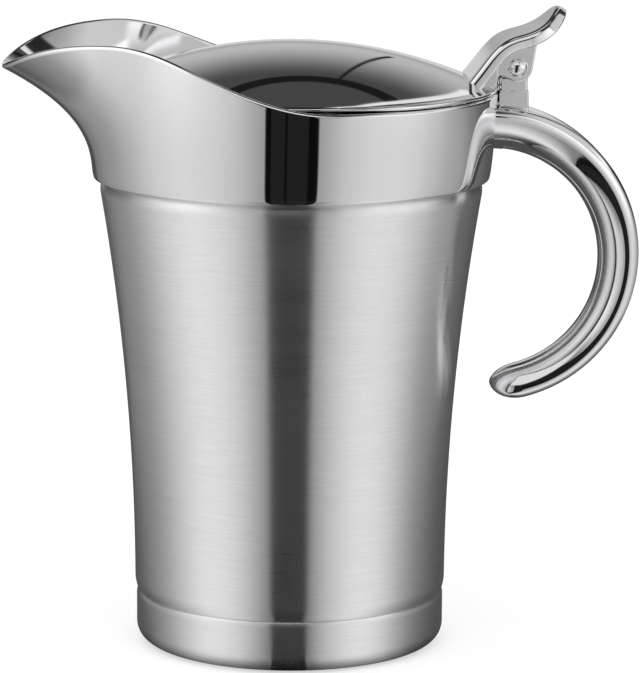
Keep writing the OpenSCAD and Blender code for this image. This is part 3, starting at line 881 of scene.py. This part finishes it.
HIGH_PANELS = (
    (0, 0.3), (20, 0.3), (26, 0.44), (40, 0.85), (55, 1.3), (69, 1.4), (85, 1.3), (95, 1.1),
    (105, 0.4), (130, 0.6), (148, 0.85), (160, 0.85), (215, 0.3), (232, 0.17), (240, 0.17),
    (256, 0.29), (275, 0.9), (291, 1.4), (305, 1.3), (320, 0.85), (334, 0.42), (340, 0.3),
    (360, 0.3))
TABLE_PANELS = (
    (0, 0.9), (16, 0.62), (24, 0.8), (40, 0.96), (54, 1.1), (69, 1.12), (85, 1.05), (105, 0.78),
    (129, 0.8), (180, 1.0), (231, 0.85), (255, 1.0), (275, 1.1), (291, 1.12), (306, 1.04),
    (320, 0.93), (336, 0.66), (344, 0.6), (360, 0.9))

# The dark gap where the camera stands, with black streaks in it; its top end, in degrees of rise
GAP, GAP_SOFT, GAP_TOP = (-14.5, 13.5), 0.6, (21.0, 28.0)
STREAKS, STREAK_SOFT = ((-14.5, -11.5), (-4.2, -3.0), (8.0, 14.5)), 0.3
GAP_GREY, STREAK_GREY, TABLE_GREY = 0.016, 0.004, 0.007


class Sums:
    """Short names for the value nodes of one tree."""

    def __init__(self, tree):
        self.tree = tree

    def math(self, kind, a, b=0.0, c=0.0):
        return add(self.tree, "ShaderNodeMath", {0: a, 1: b, 2: c}, operation=kind).outputs[0]

    def step(self, value, low, high, start=0.0, end=1.0):
        """A soft step from start to end."""
        return add(self.tree, "ShaderNodeMapRange", {
            "Value": value, "From Min": low, "From Max": high, "To Min": start, "To Max": end,
        }, interpolation_type="SMOOTHSTEP").outputs[0]

    def both(self, a, b):
        return self.math("MULTIPLY", a, b)

    def most(self, first, *others):
        for other in others:
            first = self.math("MAXIMUM", first, other)
        return first

    def squared_from(self, value, middle):
        away = self.math("ABSOLUTE", self.math("SUBTRACT", value, middle))
        return self.math("POWER", away, 2.0)

    def band(self, value, low, high, soft):
        """1 between low and high, fading over soft on each side."""
        return self.both(self.step(value, low - soft, low + soft),
                         self.step(value, high - soft, high + soft, 1.0, 0.0))

    def between(self, a, b, factor):
        return self.math("MULTIPLY_ADD", self.math("SUBTRACT", b, a), factor, a)

    def turn(self, x, y):
        """The angle round the axis from where the camera stands, in degrees, right positive."""
        angle = self.math("ARCTAN2", x, self.math("MULTIPLY", y, -1.0))
        turn = self.math("MULTIPLY_ADD", angle, DEGREES, -CAMERA_TURN)
        return self.math("WRAP", turn, 180.0, -180.0)

    def ramp(self, turn, stops):
        """A smooth curve through a few angles round the tent and their brightness."""
        brightest = 2.0
        full = self.math("WRAP", turn, 360.0, 0.0)
        made = add(self.tree, "ShaderNodeValToRGB", {0: self.math("DIVIDE", full, 360.0)})
        curve = made.color_ramp
        curve.interpolation = "CARDINAL"
        while len(curve.elements) < len(stops):
            curve.elements.new(0.5)
        for element, (angle, light) in zip(curve.elements, stops):
            element.position = angle / 360
            element.color = (*[light / brightest] * 3, 1)
        return self.math("MULTIPLY", made.outputs["Color"], brightest)


def front_group():
    """The low panels by the angle round the tent, and the dark gap between them."""
    tree, given, out = group(
        "tent_front", [("Turn", "NodeSocketFloat", 0.0)], ["Low", "Gap", "Dark"])
    sums = Sums(tree)
    turn = given.outputs["Turn"]
    streaks = sums.most(*[sums.band(turn, *ends, STREAK_SOFT) for ends in STREAKS])
    tree.links.new(sums.ramp(turn, LOW_PANELS), out.inputs["Low"])
    tree.links.new(sums.band(turn, *GAP, GAP_SOFT), out.inputs["Gap"])
    tree.links.new(sums.between(GAP_GREY, STREAK_GREY, streaks), out.inputs["Dark"])
    return tree


TENT_FRONT = front_group()


def table_light(tree, place):
    """The table as the metal shows it: painted light that carries on the panels, and painted shade
    under the foot.
    """
    foot_edge, painted_foot_shade = (0.036, 0.047), 0.1
    turn_far, panels_far = (0.19, 0.26), (0.2, 0.26)
    sums = Sums(tree)
    parts = add(tree, "ShaderNodeSeparateXYZ", {0: place}).outputs
    reach = add(tree, "ShaderNodeVectorMath", {0: place}, operation="LENGTH").outputs["Value"]
    spread = sums.math("DIVIDE", BODY_R / 2, sums.most(reach, BODY_R))
    spread = sums.math("SUBTRACT", 1.0, spread)
    spread = sums.between(spread, 1.0, sums.step(reach, *turn_far))
    turn = sums.math("DIVIDE", sums.turn(parts["X"], parts["Y"]), spread)
    turn = sums.most(sums.math("MINIMUM", turn, 180.0), -180.0)
    front = add(tree, "ShaderNodeGroup", {"Turn": turn}, node_tree=TENT_FRONT).outputs
    dark = sums.math("ADD", front["Dark"], TABLE_GREY)
    light = sums.between(front["Low"], dark, front["Gap"])
    near = sums.ramp(turn, TABLE_PANELS)
    light = sums.both(light, sums.between(near, 1.0, sums.step(reach, *panels_far)))
    # Painted shade: the glow is darkened near the foot, where the object's shadow would fall
    return sums.both(light, sums.step(reach, *foot_edge, painted_foot_shade, 1.0))


def make_floor():
    """A white table that keeps the shadow; in the metal it shows painted light of the tent's
    panels and a painted shadow under the foot.
    """
    dark, pale, glow_strength = (0.86, 0.86, 0.86), (0.89, 0.89, 0.89), 0.55
    clear_selection()
    bpy.ops.mesh.primitive_circle_add(
        vertices=96, radius=FLOOR_R, fill_type="NGON", location=(0, 0, -FLOOR_DROP))
    bpy.ops.object.transform_apply(location=True)
    floor = named("floor")
    material, tree, shader, place = new_material("pale_floor")
    grain = noise(tree, place, scale=6.0, detail=2.0)
    feed(tree, shader, {
        "Base Color": tinted(tree, grain, dark, pale), "Roughness": 0.9,
        "Specular IOR Level": 0.0,
    })
    plain = shader.outputs[0]
    glow = add(tree, "ShaderNodeEmission", {"Color": (1, 1, 1, 1), "Strength": glow_strength})
    seen = add(tree, "ShaderNodeAddShader", {0: plain, 1: glow.outputs[0]})
    # Glossy rays see a painted glow: the tent's panels as painted light and painted shade under
    # the foot
    painted_table_light = add(tree, "ShaderNodeEmission", {
        "Color": table_light(tree, place), "Strength": 1.0})
    path = add(tree, "ShaderNodeLightPath").outputs
    shown = add(tree, "ShaderNodeMixShader", {
        0: path["Is Camera Ray"], 1: plain, 2: seen.outputs[0]})
    pick = add(tree, "ShaderNodeMixShader", {
        0: path["Is Glossy Ray"], 1: shown.outputs[0], 2: painted_table_light.outputs[0]})
    tree.links.new(pick.outputs[0], tree.nodes["Material Output"].inputs["Surface"])
    floor.data.materials.append(material)


def canopy_light(sums, light, turn, rise):
    """A canopy over the right side: grey, dark at both ends, and hung lower towards the middle."""
    ends, end_soft, edge_soft = (27.0, 147.0), 2.0, 8.0
    near_end, middle, far_end = (48.0, 62.0), (79.0, 86.0), (114.0, 120.0)
    upper, greys, near_share, far_share = (42.0, 66.0), (0.7, 0.34), 0.12, 0.06
    hem, lift = (38.0, 10.0), 9.0
    grey = sums.both(sums.step(rise, *upper, *greys), sums.step(turn, *near_end, near_share, 1.0))
    grey = sums.both(grey, sums.step(turn, *far_end, 1.0, far_share))
    edge = sums.math("SUBTRACT", rise, sums.step(turn, *near_end, *hem))
    edge = sums.math("SUBTRACT", edge, sums.step(turn, *middle, 0.0, lift))
    cover = sums.both(sums.band(turn, *ends, end_soft), sums.step(edge, 0.0, edge_soft))
    return sums.between(light, grey, cover)


def back_light(sums, light, full_turn, rise):
    """The shaded back: dark below the level, light at it, darker upwards, with two dark bars."""
    bend_rise, bend_change, bends, bend_most = 41.0, (40.0, 44.0), (0.0116, 0.021), (4.5, 60.0)
    side, side_soft, far_side = 151.8, 0.5, (214.0, 216.0)
    foot, foot_greys = (-8.0, 0.0), (0.08, 0.68)
    bend = sums.both(sums.squared_from(rise, bend_rise), sums.step(rise, *bend_change, *bends))
    bend = sums.math("MINIMUM", bend, sums.step(rise, *bend_change, *bend_most))
    beside = sums.math("SUBTRACT", full_turn, sums.math("ADD", bend, side))
    back = sums.both(sums.step(beside, -side_soft, side_soft),
                     sums.step(full_turn, *far_side, 1.0, 0.0))
    shade = sums.step(rise, *foot, *foot_greys)
    for low, high, share in ((3.5, 7.0, 0.62), (8.0, 12.5, 1.25), (14.0, 43.0, 0.13)):
        shade = sums.both(shade, sums.step(rise, low, high, 1.0, share))
    light = sums.between(light, shade, back)

    # A bowed bar across the back and a thin upright under it
    bar_middle, bow, bar_rise, bar_soft, bar_grey = 171.0, -0.008, (42.9, 47.1), 0.4, 0.012
    post_turn, post_soft, post_rise, post_fade = (168.9, 169.7), 0.3, (13.0, 43.0), 1.0
    bowed = sums.math("MULTIPLY_ADD", sums.squared_from(full_turn, bar_middle), bow, rise)
    bar = sums.both(sums.band(bowed, *bar_rise, bar_soft), back)
    post = sums.both(sums.band(full_turn, *post_turn, post_soft),
                     sums.band(rise, *post_rise, post_fade))
    for dark in (bar, post):
        light = sums.between(light, bar_grey, dark)
    return light


def tent_light(tree, way):
    """Brightness of the tent by direction, worked out from the angles of turn and rise."""
    sums = Sums(tree)
    parts = add(tree, "ShaderNodeSeparateXYZ", {0: way}).outputs
    turn = sums.turn(parts["X"], parts["Y"])
    full_turn = sums.math("WRAP", turn, 360.0, 0.0)
    rise = sums.math("MULTIPLY", sums.math("ARCSINE", parts["Z"]), DEGREES)
    front = add(tree, "ShaderNodeGroup", {"Turn": turn}, node_tree=TENT_FRONT).outputs

    # Panels, low, level and high, then the canopy, a light strip over the gap and the back
    light = front["Low"]
    for panels, low, high in ((LEVEL_PANELS, -16.0, 4.0), (HIGH_PANELS, 11.0, 17.0)):
        light = sums.between(light, sums.ramp(turn, panels), sums.step(rise, low, high))
    light = canopy_light(sums, light, turn, rise)
    over_gap, over_soft, over_level = (-34.0, 27.0), 3.0, 0.85
    strip = sums.both(sums.band(turn, *over_gap, over_soft), sums.step(rise, *GAP_TOP))
    light = sums.between(light, over_level, strip)
    light = back_light(sums, light, full_turn, rise)

    # The dark top with a soft lamp in its middle, and the gap, which is wider above the level
    top, top_grey, lamp, lamp_level = (62.0, 67.0), 0.03, (76.0, 90.0), 0.85
    light = sums.between(light, top_grey, sums.step(rise, *top))
    light = sums.between(light, lamp_level, sums.step(rise, *lamp))
    aside, aside_rise = (13.0, 25.0), (6.0, 12.0)
    wider = sums.both(sums.band(turn, *aside, GAP_SOFT), sums.step(rise, *aside_rise))
    gap = sums.both(sums.most(front["Gap"], wider), sums.step(rise, *GAP_TOP, 1.0, 0.0))
    return sums.between(light, front["Dark"], gap)


def make_tent():
    clear_selection()
    bpy.ops.mesh.primitive_uv_sphere_add(
        segments=96, ring_count=48, radius=TENT_R, location=TENT_CENTRE)
    bpy.ops.object.transform_apply(location=True)
    tent = named("light_tent")
    material = bpy.data.materials.new("tent_cloth")
    material.use_nodes = True
    tree = material.node_tree
    tree.nodes.clear()
    place = add(tree, "ShaderNodeTexCoord").outputs["Object"]
    offset = add(tree, "ShaderNodeVectorMath", {0: place, 1: TENT_CENTRE}, operation="SUBTRACT")
    way = add(tree, "ShaderNodeVectorMath", {0: offset.outputs[0]}, operation="NORMALIZE")
    glow = add(tree, "ShaderNodeEmission", {
        "Color": tent_light(tree, way.outputs[0]), "Strength": 1.0})
    add(tree, "ShaderNodeOutputMaterial", {"Surface": glow.outputs[0]})
    tent.data.materials.append(material)
    tent.visible_camera = False
    tent.visible_diffuse = False
    tent.visible_shadow = False


def make_world():
    """White where it is seen, and dimmer as the light on what isn't metal."""
    dim, white = 0.6, 1.0
    world = bpy.data.worlds.new("white_room")
    bpy.context.scene.world = world
    world.use_nodes = True
    tree = world.node_tree
    tree.nodes.clear()
    path = add(tree, "ShaderNodeLightPath").outputs
    seen = Sums(tree).most(
        path["Is Camera Ray"], path["Is Glossy Ray"], path["Is Transmission Ray"])
    sky = add(tree, "ShaderNodeBackground", {
        "Color": (1, 1, 1, 1), "Strength": ranged(tree, seen, (dim, white))})
    add(tree, "ShaderNodeOutputWorld", {"Surface": sky.outputs[0]})


def make_camera():
    eye, target, roll = Vector((0, -1.05392, 0.27594)), Vector((0.00761, 0, 0.08)), 0.0057
    focal_pixels, picture_pixels, sensor = 4123.33, 673, 36
    camera = bpy.data.objects.new("camera", bpy.data.cameras.new("camera"))
    bpy.context.scene.collection.objects.link(camera)
    bpy.context.scene.camera = camera
    turn = Matrix.Rotation(math.radians(CAMERA_TURN), 4, "Z")
    eye, target = turn @ eye, turn @ target
    look = (target - eye).to_track_quat("-Z", "Y").to_matrix().to_4x4()
    camera.matrix_world = Matrix.Translation(eye) @ look @ Matrix.Rotation(roll, 4, "Z")
    camera.data.lens = focal_pixels * sensor / picture_pixels
    camera.data.sensor_width = sensor
    camera.data.clip_start, camera.data.clip_end = 0.05, 50


make_floor()
make_tent()
make_world()
make_camera()
bpy.context.scene.view_settings.view_transform = "Standard"
